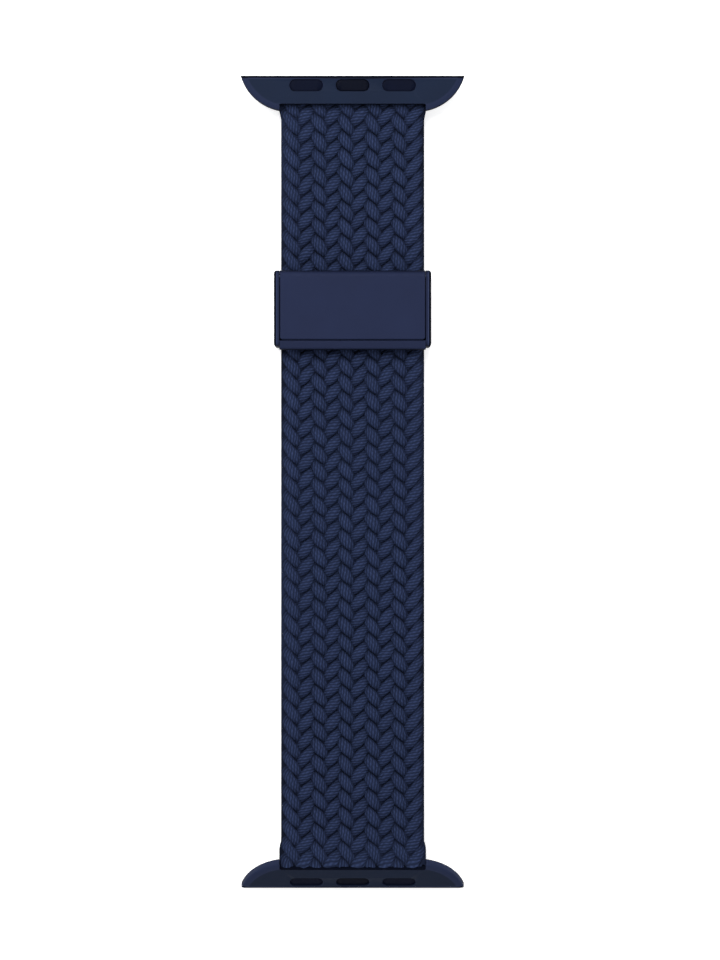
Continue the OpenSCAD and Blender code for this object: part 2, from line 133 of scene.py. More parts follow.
# Where the strip swells to fill the notch of an adapter in front of its lip: (mark along it, share)
SWOLLEN = (
    (STRIP_FRONT - 0.85 * FOLD_R, 1),
    (STRIP_FRONT + 1.4 * MM, 1),
    (STRIP_FRONT + 2.6 * MM, 0),
    (STRIP_UPPER - 2.6 * MM, 0),
    (STRIP_UPPER - 1.4 * MM, 1),
    (STRIP_UPPER, 1),
)

# Width that the strip gains where it swells
SWELL = 0.6 * MM

# Angles over the lower bar between which the strip turns down along the lip, and how much it bulges there
DIVE_START = 0.61
DIVE_END = 0.68
DIVE_RISE = 0.27

# Directions that the faces of the adapters look in
UPPER_FACE = Vector((0, 0, 1))
LOWER_FACE = facing("lower_left_pad")

# Painted shade outlines along the adapters' ends and the buckle's walls, and the painted highlight line
# inside them
END_OUTLINE = 0.42 * MM
WALL_OUTLINE = 0.38 * MM
HIGHLIGHT_LINE = 0.16 * MM

# Broken edges of the buckle and its cover as a share of the adapters', and those of the small pieces
FINE_EDGE = 0.6
INSERT_EDGE = 0.09 * MM
RIB_EDGE = 0.05 * MM
CLIP_EDGE = 0.06 * MM
FILM_EDGE = 0.08 * MM

# Size of a strand at the middle of a float, as a share of its mean size
FLOAT_SHARE = 1.1


# Settings


class BraidSettings(bpy.types.PropertyGroup):
    """Sizes and colour of the braid"""

    columns: bpy.props.IntProperty(
        name="Columns",
        description="Columns of floats across the braid",
        default=10,
        min=4,
        max=16,
    )
    column: bpy.props.FloatProperty(
        name="Column pitch",
        description="Distance between columns of floats",
        default=2.188 * MM,
        unit="LENGTH",
    )
    row: bpy.props.FloatProperty(
        name="Row pitch",
        description="Distance between floats along a column",
        default=2.843 * MM,
        unit="LENGTH",
    )
    width: bpy.props.FloatProperty(
        name="Strand width",
        description="Width of a strand at the middle of a float",
        default=1.92 * MM,
        unit="LENGTH",
    )
    thickness: bpy.props.FloatProperty(
        name="Strand thickness",
        description="Mean thickness of a strand",
        default=0.9 * MM,
        unit="LENGTH",
    )
    corner: bpy.props.FloatProperty(
        name="Turn",
        description="Softness of a strand's turn into the selvage",
        default=0.25 * MM,
        unit="LENGTH",
    )
    seed: bpy.props.IntProperty(
        name="Seed",
        description="Start of the small irregularities of the yarn",
        default=7,
        min=1,
    )
    colour: bpy.props.FloatVectorProperty(
        name="Yarn",
        description="Colour of the yarn",
        subtype="COLOR",
        default=(0.0152, 0.0232, 0.0570),
    )


class MetalSettings(bpy.types.PropertyGroup):
    """Colours and edges of the metal and rubber pieces"""

    colour: bpy.props.FloatVectorProperty(
        name="Finish",
        description="Colour of the satin finish",
        subtype="COLOR",
        default=(0.0130, 0.0184, 0.0480),
    )
    adapter_colour: bpy.props.FloatVectorProperty(
        name="Adapters",
        description="Colour of the adapters",
        subtype="COLOR",
        default=(0.0076, 0.0135, 0.0322),
    )
    # Painted highlight: colour of the rounded rims and of the light lines inside the dark outlines
    rim_colour: bpy.props.FloatVectorProperty(
        name="Rims",
        description="Colour of the rounded rims and light lines",
        subtype="COLOR",
        default=(0.0140, 0.0200, 0.0480),
    )
    # Painted shade: colour of the dark broken edges, outlines and lip
    edge_shade_colour: bpy.props.FloatVectorProperty(
        name="Edges",
        description="Colour of the dark edges and outlines",
        subtype="COLOR",
        default=(0.002, 0.003, 0.008),
    )
    insert_colour: bpy.props.FloatVectorProperty(
        name="Inserts",
        description="Colour of the rubber inserts",
        subtype="COLOR",
        default=(0.0022, 0.0038, 0.0128),
    )
    roughness: bpy.props.FloatProperty(
        name="Roughness",
        description="Roughness of the satin finish",
        default=0.58,
        min=0,
        max=1,
    )
    edge: bpy.props.FloatProperty(
        name="Edge break",
        description="Width of the adapters' broken edges",
        default=0.08 * MM,
        unit="LENGTH",
    )


class StageSettings(bpy.types.PropertyGroup):
    """Camera and lights"""

    camera_at: bpy.props.FloatVectorProperty(
        name="Camera",
        description="Place of the camera",
        subtype="TRANSLATION",
        default=(1.21 * MM, 0.49 * MM, 603 * MM),
    )
    lens: bpy.props.FloatProperty(
        name="Lens",
        description="Focal length for a film 24 mm high",
        default=91.3,
        unit="CAMERA",
    )
    key: bpy.props.FloatProperty(
        name="Key light",
        description="Power of the softbox beyond the upper adapter",
        default=2.1,
        unit="POWER",
    )
    fill: bpy.props.FloatProperty(
        name="Side light",
        description="Power of each softbox beside the strap",
        default=0.42,
        unit="POWER",
    )
    front: bpy.props.FloatProperty(
        name="Front light",
        description="Power of the softbox beyond the lower adapter",
        default=2.1,
        unit="POWER",
    )
    sky: bpy.props.FloatProperty(
        name="Sky",
        description="Strength of the even light all round",
        default=0.35,
        min=0,
    )


# Small helpers


def select_only(*objects):
    """Leave just these objects selected, the first of them active."""
    bpy.ops.object.select_all(action="DESELECT")
    for obj in objects:
        obj.select_set(True)
    bpy.context.view_layer.objects.active = objects[0]


def edit(obj):
    """Enter edit mode on one object with all of its mesh selected."""
    select_only(obj)
    bpy.ops.object.mode_set(mode="EDIT")
    bpy.ops.mesh.select_all(action="SELECT")


def leave_edit():
    """Go back to object mode."""
    bpy.ops.object.mode_set(mode="OBJECT")


def cut(point, direction, **options):
    """Cut the mesh in edit mode with a plane, and leave all of it selected."""
    bpy.ops.mesh.select_all(action="SELECT")
    bpy.ops.mesh.bisect(plane_co=point, plane_no=direction, **options)
    bpy.ops.mesh.select_all(action="SELECT")


def settle(obj):
    """Put an object's place into its mesh, so that the object itself sits at the origin."""
    select_only(obj)
    bpy.ops.object.transform_apply(location=True, rotation=True, scale=True)


def coordinates(mesh):
    """Places of a mesh's vertices, one row each."""
    co = np.empty(len(mesh.vertices) * 3)
    mesh.vertices.foreach_get("co", co)
    return co.reshape(-1, 3)


def smoothstep(t):
    """Soft step from 0 to 1 as t goes from 0 to 1."""
    t = np.clip(t, 0, 1)
    return t * t * (3 - 2 * t)


def share_along(strip, marks):
    """Share at each place along the strip, with soft steps between (mark, share) pairs."""
    places, shares = zip(*marks)
    return smoothstep(np.interp(strip, places, shares))


# Shader nodes


def put(tree, kind, at=(0, 0), **values):
    """Add a node. Names of its properties are set on it, and the rest are its input sockets."""
    made = tree.nodes.new(kind)
    made.location = at
    for name, value in values.items():
        if hasattr(made, name):
            setattr(made, name, value)
        else:
            made.inputs[name.replace("_", " ")].default_value = value
    return made


def join(tree, *pairs):
    """Link each (output, input) pair."""
    for start, end in pairs:
        tree.links.new(start, end)


def maths(tree, operation, first, second=None, at=(0, 0)):
    """A Math node fed by sockets or numbers. Returns its output."""
    made = put(tree, "ShaderNodeMath", at, operation=operation)
    for slot, value in enumerate((first, second)):
        if isinstance(value, (int, float)):
            made.inputs[slot].default_value = value
        elif value is not None:
            tree.links.new(value, made.inputs[slot])
    return made.outputs[0]


def shader_group(name, inputs, outputs):
    """An empty node group with float or vector sockets, its input node and its output node."""
    tree = bpy.data.node_groups.new(name, "ShaderNodeTree")
    for socket, kind in inputs:
        tree.interface.new_socket(socket, in_out="INPUT", socket_type=kind)
    for socket, kind in outputs:
        tree.interface.new_socket(socket, in_out="OUTPUT", socket_type=kind)
    return tree, put(tree, "NodeGroupInput", (-900, 0)), put(tree, "NodeGroupOutput", (900, 0))


def grain_group():
    """Fine grain: a height and a slow cloudy mask, from one place vector."""
    tree, given, made = shader_group(
        "Fine grain",
        [("Vector", "NodeSocketVector"), ("Scale", "NodeSocketFloat"), ("Cloud Scale", "NodeSocketFloat")],
        [("Height", "NodeSocketFloat"), ("Cloud", "NodeSocketFloat")],
    )
    fine = put(tree, "ShaderNodeTexNoise", (-500, 200), Detail=3.0, Roughness=0.6)
    cloud = put(tree, "ShaderNodeTexNoise", (-500, -200), Detail=2.0)
    join(
        tree,
        (given.outputs["Vector"], fine.inputs["Vector"]),
        (given.outputs["Scale"], fine.inputs["Scale"]),
        (given.outputs["Vector"], cloud.inputs["Vector"]),
        (given.outputs["Cloud Scale"], cloud.inputs["Scale"]),
        (fine.outputs[0], made.inputs["Height"]),
        (cloud.outputs[0], made.inputs["Cloud"]),
    )
    return tree


def swell(tree, turns, least, at):
    """A wave over whole turns that goes from least to 1."""
    wave = maths(tree, "SINE", maths(tree, "MULTIPLY", turns, 2 * math.pi, at), None, (at[0] + 130, at[1]))
    out = maths(tree, "MULTIPLY_ADD", wave, (1 - least) / 2, (at[0] + 260, at[1]))
    out.node.inputs[2].default_value = (1 + least) / 2
    return out


def yarn_group():
    """Twisted filaments: ridges that run round a strand at a slant, with slubs and loose fibres."""
    tree, given, made = shader_group(
        "Yarn twist",
        [("Lay", "NodeSocketVector"), ("Lines", "NodeSocketFloat"), ("Pitch", "NodeSocketFloat")],
        [("Height", "NodeSocketFloat"), ("Shade", "NodeSocketFloat")],
    )
    split = put(tree, "ShaderNodeSeparateXYZ", (-700, 0))
    slub = put(tree, "ShaderNodeTexNoise", (-700, -300), Scale=1.4, Detail=1.0)
    along = maths(tree, "DIVIDE", split.outputs["X"], given.outputs["Pitch"], (-500, 100))
    around = maths(tree, "MULTIPLY", split.outputs["Y"], given.outputs["Lines"], (-500, -50))
    wander = maths(tree, "MULTIPLY", slub.outputs[0], 0.9, (-500, -300))
    turns = maths(tree, "ADD", maths(tree, "ADD", along, around, (-300, 0)), wander, (-150, 0))
    ridge = swell(tree, turns, 0.0, (0, 0))
    stitches = maths(tree, "MULTIPLY", split.outputs["Y"], 9.0, (-300, 250))
    stitches = maths(tree, "ADD", stitches, wander, (-150, 250))
    knob = swell(tree, stitches, 0.45, (0, 250))
    ridge = maths(tree, "MULTIPLY", ridge, knob, (350, 100))
    fibre = put(tree, "ShaderNodeTexNoise", (-100, -400), noise_dimensions="2D", Scale=9.0, Detail=3.0)
    fibre_place = put(tree, "ShaderNodeCombineXYZ", (-300, -400))
    loose = maths(tree, "MULTIPLY", fibre.outputs[0], 0.6, (100, -400))
    height = maths(tree, "ADD", ridge, loose, (500, 0))
    join(
        tree,
        (given.outputs["Lay"], split.inputs[0]),
        (given.outputs["Lay"], slub.inputs["Vector"]),
        (maths(tree, "MULTIPLY", turns, 0.5, (0, -200)), fibre_place.inputs["X"]),
        (maths(tree, "MULTIPLY", along, 0.15, (-400, -200)), fibre_place.inputs["Y"]),
        (fibre_place.outputs[0], fibre.inputs["Vector"]),
        (height, made.inputs["Height"]),
        (ridge, made.inputs["Shade"]),
    )
    return tree


def facing_group():
    """Share that a surface faces the strap's front or back, the mask of painted shade: 1 from Full
    upwards, Least at Start.
    """
    levels = [(name, "NodeSocketFloat") for name in ("Least", "Start", "Full")]
    tree, given, made = shader_group("Facing", levels, [("Share", "NodeSocketFloat")])
    where = put(tree, "ShaderNodeTexCoord", (-900, 200))
    turn = put(tree, "ShaderNodeSeparateXYZ", (-650, 200))
    level = put(tree, "ShaderNodeMapRange", (-300, 100), interpolation_type="SMOOTHSTEP")
    join(
        tree,
        (where.outputs["Normal"], turn.inputs[0]),
        (maths(tree, "ABSOLUTE", turn.outputs["Z"], None, (-480, 200)), level.inputs["Value"]),
        (given.outputs["Start"], level.inputs["From Min"]),
        (given.outputs["Full"], level.inputs["From Max"]),
        (given.outputs["Least"], level.inputs["To Min"]),
        (level.outputs[0], made.inputs["Share"]),
    )
    return tree


def painted_facing_shade(tree, tone, at=(-150, 300), **levels):
    """A colour with painted shade where the surface turns away from the front."""
    group = put(tree, "ShaderNodeGroup", (at[0] - 400, at[1] + 200))
    group.node_tree = shared("Facing", facing_group)
    for name, value in levels.items():
        group.inputs[name].default_value = value
    return scaled(tree, tone, group.outputs["Share"], at)


def scaled(tree, tone, factor, at=(-350, 500)):
    """A colour socket times a factor socket."""
    mix = put(tree, "ShaderNodeVectorMath", at, operation="SCALE")
    join(tree, (tone, mix.inputs[0]), (factor, mix.inputs["Scale"]))
    return mix.outputs[0]


def new_material(name):
    """A material with one Principled BSDF. Returns the material, its tree and the shader."""
    made = bpy.data.materials.new(name)
    made.use_nodes = True
    tree = made.node_tree
    return made, tree, tree.nodes["Principled BSDF"]


def grained(tree, scale, cloud_scale):
    """The grain group placed on Object coordinates."""
    where = put(tree, "ShaderNodeTexCoord", (-1300, 0))
    group = put(tree, "ShaderNodeGroup", (-1100, 0), node_tree=shared("Fine grain", grain_group))
    group.inputs["Scale"].default_value = scale
    group.inputs["Cloud Scale"].default_value = cloud_scale
    join(tree, (where.outputs["Object"], group.inputs["Vector"]))
    return group


def shared(name, builder):
    """The named node group, built the first time that it is asked for."""
    return bpy.data.node_groups.get(name) or builder()


def between(tree, factor, low, high, at=(-400, 200)):
    """A colour that goes from low to high with factor."""
    mix = put(tree, "ShaderNodeMix", at, data_type="RGBA")
    mix.inputs["A"].default_value = (*low, 1)
    mix.inputs["B"].default_value = (*high, 1)
    tree.links.new(factor, mix.inputs["Factor"])
    return mix.outputs["Result"]


def shaded(colour, factor):
    """A colour value times a factor."""
    return tuple(channel * factor for channel in colour)


def satin(name, colour, roughness, least=0.3, start=0.3, full=0.97, gloss_level=0.05, rim=None):
    """Bead blasted and dyed metal: very fine grain, with a slightly cloudy gloss.

    It has painted shade where it turns away from the front, and a painted highlight colour where its
    highlight mark attribute is 1."""
    made, tree, shader = new_material(name)
    group = grained(tree, 9000, 160)
    tone = between(tree, group.outputs["Cloud"], shaded(colour, 0.88), shaded(colour, 1.12))
    # Painted highlight: the given colour where the mark attribute is 1
    if rim:
        mark = put(tree, "ShaderNodeAttribute", (-900, 500), attribute_name="rim")
        even, tone = tone, between(tree, mark.outputs["Fac"], colour, rim, (-400, 500))
        join(tree, (even, tone.node.inputs["A"]))
    gloss = put(tree, "ShaderNodeMapRange", (-400, -100), To_Min=roughness - 0.05, To_Max=roughness + 0.06)
    bump = put(tree, "ShaderNodeBump", (-300, -350), Strength=0.12, Distance=0.02 * MM)
    join(
        tree,
        (painted_facing_shade(tree, tone, Least=least, Start=start, Full=full), shader.inputs["Base Color"]),
        (group.outputs["Cloud"], gloss.inputs["Value"]),
        (gloss.outputs[0], shader.inputs["Roughness"]),
        (group.outputs["Height"], bump.inputs["Height"]),
        (bump.outputs[0], shader.inputs["Normal"]),
    )
    shader.inputs["Specular IOR Level"].default_value = gloss_level
    return made


def adapter_satin(name, depth, start, full):
    """The adapters' finish, with a painted highlight along their rounded rims and painted shade where they
    turn away from the front.
    """
    metal = bpy.context.scene.strap_metal
    colour = shaded(metal.adapter_colour, depth)
    return satin(name, colour, metal.roughness, 0.15, start, full, rim=metal.rim_colour)


def brushed_steel(name, colour):
    """Metal with fine brush lines across the strap."""
    made, tree, shader = new_material(name)
    where = put(tree, "ShaderNodeTexCoord", (-1300, 0))
    stretch = put(tree, "ShaderNodeMapping", (-1100, 0))
    stretch.inputs["Scale"].default_value = (0.06, 1, 1)
    group = put(tree, "ShaderNodeGroup", (-900, 0), node_tree=shared("Fine grain", grain_group))
    group.inputs["Scale"].default_value = 14000
    group.inputs["Cloud Scale"].default_value = 500
    tone = between(tree, group.outputs["Cloud"], shaded(colour, 0.85), shaded(colour, 1.15))
    gloss = put(tree, "ShaderNodeMapRange", (-400, -100), To_Min=0.22, To_Max=0.4)
    bump = put(tree, "ShaderNodeBump", (-300, -350), Strength=0.25, Distance=0.02 * MM)
    join(
        tree,
        (where.outputs["Object"], stretch.inputs["Vector"]),
        (stretch.outputs[0], group.inputs["Vector"]),
        (tone, shader.inputs["Base Color"]),
        (group.outputs["Height"], gloss.inputs["Value"]),
        (gloss.outputs[0], shader.inputs["Roughness"]),
        (group.outputs["Height"], bump.inputs["Height"]),
        (bump.outputs[0], shader.inputs["Normal"]),
    )
    shader.inputs["Metallic"].default_value = 1.0
    return made


def rubber(name, colour, roughness=0.55):
    """Moulded rubber with a fine eroded texture."""
    made, tree, shader = new_material(name)
    group = grained(tree, 6000, 300)
    tone = between(tree, group.outputs["Cloud"], shaded(colour, 0.8), shaded(colour, 1.25))
    bump = put(tree, "ShaderNodeBump", (-300, -350), Strength=0.3, Distance=0.03 * MM)
    join(
        tree,
        (tone, shader.inputs["Base Color"]),
        (group.outputs["Height"], bump.inputs["Height"]),
        (bump.outputs[0], shader.inputs["Normal"]),
    )
    shader.inputs["Roughness"].default_value = roughness
    shader.inputs["Specular IOR Level"].default_value = 0.03
    return made


def braided_yarn(name, colour):
    """Nylon yarn: twisted ridges, with painted shade in the crevices between strands and where the strands
    turn away from the front.
    """
    made, tree, shader = new_material(name)
    lay = put(tree, "ShaderNodeUVMap", (-1500, 0), uv_map="Lay")
    yarn = put(tree, "ShaderNodeGroup", (-1200, 0), node_tree=shared("Yarn twist", yarn_group))
    yarn.inputs["Lines"].default_value = 8
    yarn.inputs["Pitch"].default_value = -0.62
    crest_shade = put(tree, "ShaderNodeAttribute", (-1200, 300), attribute_name="crest_shade")
    tint = put(tree, "ShaderNodeAttribute", (-1200, 500), attribute_name="tint")
    lit = maths(tree, "MULTIPLY_ADD", yarn.outputs["Shade"], 1.1, (-1000, 100))
    lit.node.inputs[2].default_value = 0.6
    # Painted crevice shade: the yarn colour falls to 0.4 of itself where the crest mark is low
    level = maths(tree, "MULTIPLY", crest_shade.outputs["Fac"], tint.outputs["Fac"], (-650, 200))
    even = between(tree, level, shaded(colour, 0.4), shaded(colour, 1.1))
    woven = scaled(tree, even, lit)
    bump = put(tree, "ShaderNodeBump", (-300, -350), Strength=0.9, Distance=0.07 * MM)
    join(
        tree,
        (lay.outputs[0], yarn.inputs["Lay"]),
        (painted_facing_shade(tree, woven, Least=0.5, Start=0.0, Full=0.97), shader.inputs["Base Color"]),
        (yarn.outputs["Height"], bump.inputs["Height"]),
        (bump.outputs[0], shader.inputs["Normal"]),
    )
    shader.inputs["Roughness"].default_value = 0.8
    shader.inputs["Specular IOR Level"].default_value = 0.05
    return made


def edge_shade_satin():
    """Painted shade for broken edges, outlines and the lower lip: a dark finish, the same from every side.
    """
    metal = bpy.context.scene.strap_metal
    return satin("Satin navy edge", metal.edge_shade_colour, metal.roughness, least=1.0, gloss_level=0.02)


def frame_satin():
    """The buckle frame's finish, a little darker than the cover's, with a painted highlight line along the
    walls.
    """
    metal = bpy.context.scene.strap_metal
    wall_highlight = shaded(metal.rim_colour, 1.7)
    return satin("Satin navy frame", shaded(metal.colour, 0.86), metal.roughness, rim=wall_highlight)


def finish(name):
    """The strap's named finish, made the first time that it is asked for."""
    metal = bpy.context.scene.strap_metal
    makers = {
        "braid": lambda: braided_yarn("Braided nylon", bpy.context.scene.strap_braid.colour),
        "navy": lambda: satin("Satin navy", metal.colour, metal.roughness),
        "navy_frame": frame_satin,
        "navy_upper": lambda: adapter_satin("Satin navy adapter", 1.0, 0.45, 0.85),
        # The lower adapter is the same finish painted darker at 0.82, as shade for its tilt
        "navy_lower": lambda: adapter_satin("Satin navy tilted adapter", 0.82, 0.0, 0.5),
        "navy_edge_shade": edge_shade_satin,
        "steel": lambda: brushed_steel("Brushed steel", (0.44, 0.45, 0.47)),
        "dark_steel": lambda: brushed_steel("Dark steel", (0.03, 0.034, 0.05)),
        "insert": lambda: rubber("Insert rubber", metal.insert_colour),
        "button": lambda: rubber("Button plastic", shaded(metal.insert_colour, 0.6), 0.5),
        "bond": lambda: rubber("Bond film", shaded(metal.insert_colour, 1.6), 0.7),
    }
    key = f"strap_{name}"
    found = [m for m in bpy.data.materials if m.get("strap_finish") == key]
    if found:
        return found[0]
    made = makers[name]()
    made["strap_finish"] = key
    return made


def dress(node, name):
    """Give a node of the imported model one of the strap's finishes."""
    mesh = NODES[node].data
    mesh.materials.clear()
    mesh.materials.append(finish(name))


# Braid


def strand_line(settings, rows):
    """Centre line of one strand that crosses the flat braid from side to side, going down it.

    It floats over the columns that slant its own way and dives under the others, and turns round
    at each side. Points are (across, along, height, radius share)."""
    steps = 7
    last = settings.columns - 1
    half = last / 2
    turn_pitches = 1.5
    rise = (BAND_T - settings.thickness * FLOAT_SHARE) / 2
    side = BAND_W / 2 - settings.width / (2 * FLOAT_SHARE) - half * settings.column
    points = []
    along = 0.0

    def wave(value):
        """A cosine with flatter tops."""
        return math.copysign(abs(value) ** 0.75, value)

    while -along < rows * settings.row:
        for way in (1, -1):
            # One leg across
            for i in range(last * steps + 1):
                column = i / steps if way > 0 else last - i / steps
                height = rise * wave(way * math.cos(math.pi * column))
                share = 1 + (FLOAT_SHARE - 1) * math.cos(2 * math.pi * column)
                across = (column - half) * settings.column
                points.append((across, along - i / steps * settings.row, height, share))
            along -= last * settings.row
            # The turn at the side, where the strand runs straight down the selvage for a while
            turns = 2 * steps
            for i in range(1, turns):
                t = i / turns
                out = settings.column * turn_pitches * min(t, 1 - t)
                short = (side - out) / settings.corner
                across = half * settings.column + side - settings.corner * math.log1p(math.exp(short))
                height = -rise * math.cos(math.pi * t)
                points.append((way * across, along - t * turn_pitches * settings.row, height, 1.0))
            along -= turn_pitches * settings.row
    return points


def oval_profile(settings, sides=10):
    """Closed section of a strand, as a flat curve."""
    bpy.ops.object.add(type="CURVE")
    made = bpy.context.object
    made.data.dimensions = "2D"
    spline = made.data.splines.new("POLY")
    spline.points.add(sides - 1)
    for i, point in enumerate(spline.points):
        angle = -2 * math.pi * i / sides
        across = settings.width / (2 * FLOAT_SHARE) * math.cos(angle)
        up = settings.thickness / 2 * math.sin(angle)
        point.co = (across, up, 0, 1)
    spline.use_cyclic_u = True
    return made


def strand_mesh(settings, rows):
    """One strand swept along its line.

    Its Lay map holds the millimetres along it and the share of a turn round it."""
    line = strand_line(settings, rows)
    section = oval_profile(settings)
    bpy.ops.object.add(type="CURVE")
    strand = bpy.context.object
    curve = strand.data
    curve.dimensions = "3D"
    curve.twist_mode = "Z_UP"
    curve.bevel_mode = "OBJECT"
    curve.bevel_object = section
    spline = curve.splines.new("POLY")
    spline.points.add(len(line) - 1)
    for point, (across, along, height, share) in zip(spline.points, line):
        point.co = (across, along, height, 1)
        point.radius = share
    select_only(strand)
    bpy.ops.object.convert(target="MESH")
    strand = bpy.context.object
    mesh = strand.data
    places = np.array([p[:3] for p in line])
    lengths = np.concatenate([[0], np.cumsum(np.linalg.norm(np.diff(places, axis=0), axis=1))]) / MM
    layer = mesh.uv_layers[0]
    layer.name = "Lay"
    uv = np.empty(len(mesh.loops) * 2)
    layer.data.foreach_get("uv", uv)
    uv[0::2] = np.interp(uv[0::2] * (len(line) - 1), np.arange(len(line)), lengths)
    layer.data.foreach_set("uv", uv)
    mesh.attributes.new("tint", "FLOAT", "POINT")
    select_only(section)
    bpy.ops.object.delete()
    return strand


def core_ribbon(start, end, settings):
    """Flat elastic core that the strands are braided round. It closes the small gaps between them, and as
    it lies low it takes the painted crevice shade, so the gaps show as dark shade.
    """
    thickness, inset, step = 0.5 * MM, 0.02 * MM, 0.7 * MM
    bpy.ops.mesh.primitive_cube_add(size=1)
    core = bpy.context.object
    core.scale = (BAND_W - inset, end - start + 2 * settings.row, thickness)
    core.location = (0, (start + end) / 2, 0)
    settle(core)
    edit(core)
    for mark in np.arange(start, end, step):
        cut((0, mark, 0), ALONG)
    leave_edit()
    core.data.uv_layers[0].name = "Lay"
    core.data.attributes.new("tint", "FLOAT", "POINT")
    return core


def braid_strip(name, start, end, settings):
    """A flat strip of braid between two marks along it, its cut ends closed."""
    strands = 2 * settings.columns + 1
    period = strands * settings.row
    top = math.ceil(end / settings.row) * settings.row
    rows = strands * math.ceil((top - start + period) / period)
    dice = random.Random(settings.seed)
    first = strand_mesh(settings, rows)
    copies = [first]
    for _ in range(strands - 1):
        select_only(first)
        bpy.ops.object.duplicate()
        copies.append(bpy.context.object)
    for i, strand in enumerate(copies):
        strand.location.y = top + (i + 1) * settings.row
        tint = np.full(len(strand.data.vertices), dice.uniform(0.86, 1.0), np.float32)
        strand.data.attributes["tint"].data.foreach_set("value", tint)
        settle(strand)
    core = core_ribbon(start, end, settings)
    select_only(*copies, core)
    bpy.ops.object.join()
    strip = bpy.context.object
    strip.name = strip.data.name = name
    edit(strip)
    cut((0, end, 0), ALONG, use_fill=True, clear_outer=True)
    cut((0, start, 0), ALONG, use_fill=True, clear_inner=True)
    # Cuts across the strip where it turns down along the lower lip, so that it turns in a clean line
    if start < STRIP_FRONT < end:
        for angle in np.linspace(2 * DIVE_START - DIVE_END, DIVE_END, 5):
            cut((0, STRIP_FRONT - angle * FOLD_R, 0), ALONG)
    bpy.ops.mesh.normals_make_consistent(inside=False)
    leave_edit()
    return strip


def roughen(co, seed):
    """Small slow shifts, as no two floats of a real braid are quite alike. The selvages stay straight."""
    noise.seed_set(seed)
    pace, size, upwards = 0.45, 0.13, 0.35
    calm, fade = 1.6 * MM, 1.4 * MM
    inside = 1 - smoothstep((np.abs(co[:, 0]) - BAND_W / 2 + calm) / fade)
    for place, free in zip(co, inside):
        at = Vector(place) / MM
        shift = np.array(noise.noise_vector(at * pace))
        place += shift * size * MM * np.array((free, 1, upwards))
    co[:, 0] = np.clip(co[:, 0], -BAND_W / 2, BAND_W / 2)


def lay_on_path(co):
    """Bend a flat strip, whose second coordinate runs along it, round the two bars and into the clip."""
    strip, across = co[:, 1], co[:, 0]
    inward = BAND_T / 2 - co[:, 2]
    # Tail, lower fold, front run and upper fold, before the return run
    stretches = [strip < STRIP_LOWER, strip < STRIP_FRONT, strip < STRIP_UPPER, strip < STRIP_RETURN]
    off_fold = np.select(
        stretches,
        [STRIP_LOWER - strip, 0 * strip, np.minimum(strip - STRIP_FRONT, STRIP_UPPER - strip), 0 * strip],
        strip - STRIP_RETURN,
    )
    relax = smoothstep((off_fold - FOLD_RUN) / RELAX_RUN)
    return_y = UPPER_BAR.y - (strip - STRIP_RETURN)
    # Shares that the strip is drawn in at an adapter, held in the clip and swollen in a notch
    drawn = share_along(strip, DRAWN_IN)
    near_clip = smoothstep((CLIP_HIGH.y + PRESS_START - return_y) / PRESS_RUN)
    held = np.where(strip > STRIP_RETURN, near_clip, 0)
    full = share_along(strip, SWOLLEN)
    full = full * (strip > STRIP_LOWER) * (strip < STRIP_RETURN) * (1 - drawn)
    press = (FOLD_PRESS + (1 - FOLD_PRESS) * relax) * (1 - held * (1 - CLIP_PRESS))
    narrow = (1 - drawn * (1 - FOLD_NARROW)) * (1 - held * (1 - CLIP_NARROW))
    narrow = narrow * (1 + SWELL / BAND_W * full)
    depth = inward * press
    lift = held * CLIP_LOW.z
    lower_turn = (strip - STRIP_LOWER) / FOLD_R
    upper_turn = (strip - STRIP_UPPER) / FOLD_R
    # Over the lower bar the braid swells up against the lip before it dives into the mouth
    dive = np.clip((STRIP_FRONT - strip) / FOLD_R, 0, DIVE_END)
    rise = DIVE_RISE * dive / DIVE_START
    bulge = FOLD_R * (1 / (np.cos(dive) - rise * np.sin(dive)) - 1)
    bulge = bulge * (1 - smoothstep((dive - DIVE_START) / (DIVE_END - DIVE_START)))
    # The bulge fades out towards the inner side of the fold
    bulge = bulge * np.clip(1.7 - 1.7 * depth / (BAND_T * FOLD_PRESS), 0, 1)
    radius = FOLD_R - depth + bulge
    y = np.select(
        stretches,
        [
            TAIL_END - strip,
            LOWER_BAR.y - radius * np.sin(lower_turn),
            LOWER_BAR.y + strip - STRIP_FRONT,
            UPPER_BAR.y + radius * np.sin(upper_turn),
        ],
        return_y,
    )
    z = np.select(
        stretches,
        [
            depth,
            FOLD_R - radius * np.cos(lower_turn),
            2 * FOLD_R - depth,
            FOLD_R + radius * np.cos(upper_turn),
        ],
        depth + lift,
    )
    return np.column_stack([across * narrow, y, z])


def braid_piece(name, start, end):
    """A stretch of the braided band, bent to its place. Its crest attribute, from the height in the flat
    braid, paints shade into its crevices.
    """
    settings = bpy.context.scene.strap_braid
    piece = braid_strip(name, start, end, settings)
    mesh = piece.data
    co = coordinates(mesh)
    # Painted crevice shade mask: 1 on the strands' crests, falling to 0 low in the braid and on the core
    height = np.abs(co[:, 2]) / (BAND_T / 2)
    crest_shade = smoothstep((height - 0.1) / 0.8)
    layer = mesh.attributes.new("crest_shade", "FLOAT", "POINT")
    layer.data.foreach_set("value", crest_shade.astype(np.float32))
    roughen(co, settings.seed)
    mesh.vertices.foreach_set("co", lay_on_path(co).ravel())
    mesh.update()
    mesh.materials.clear()
    mesh.materials.append(finish("braid"))
    select_only(piece)
    bpy.ops.object.shade_smooth_by_angle(angle=math.radians(50))
    return piece


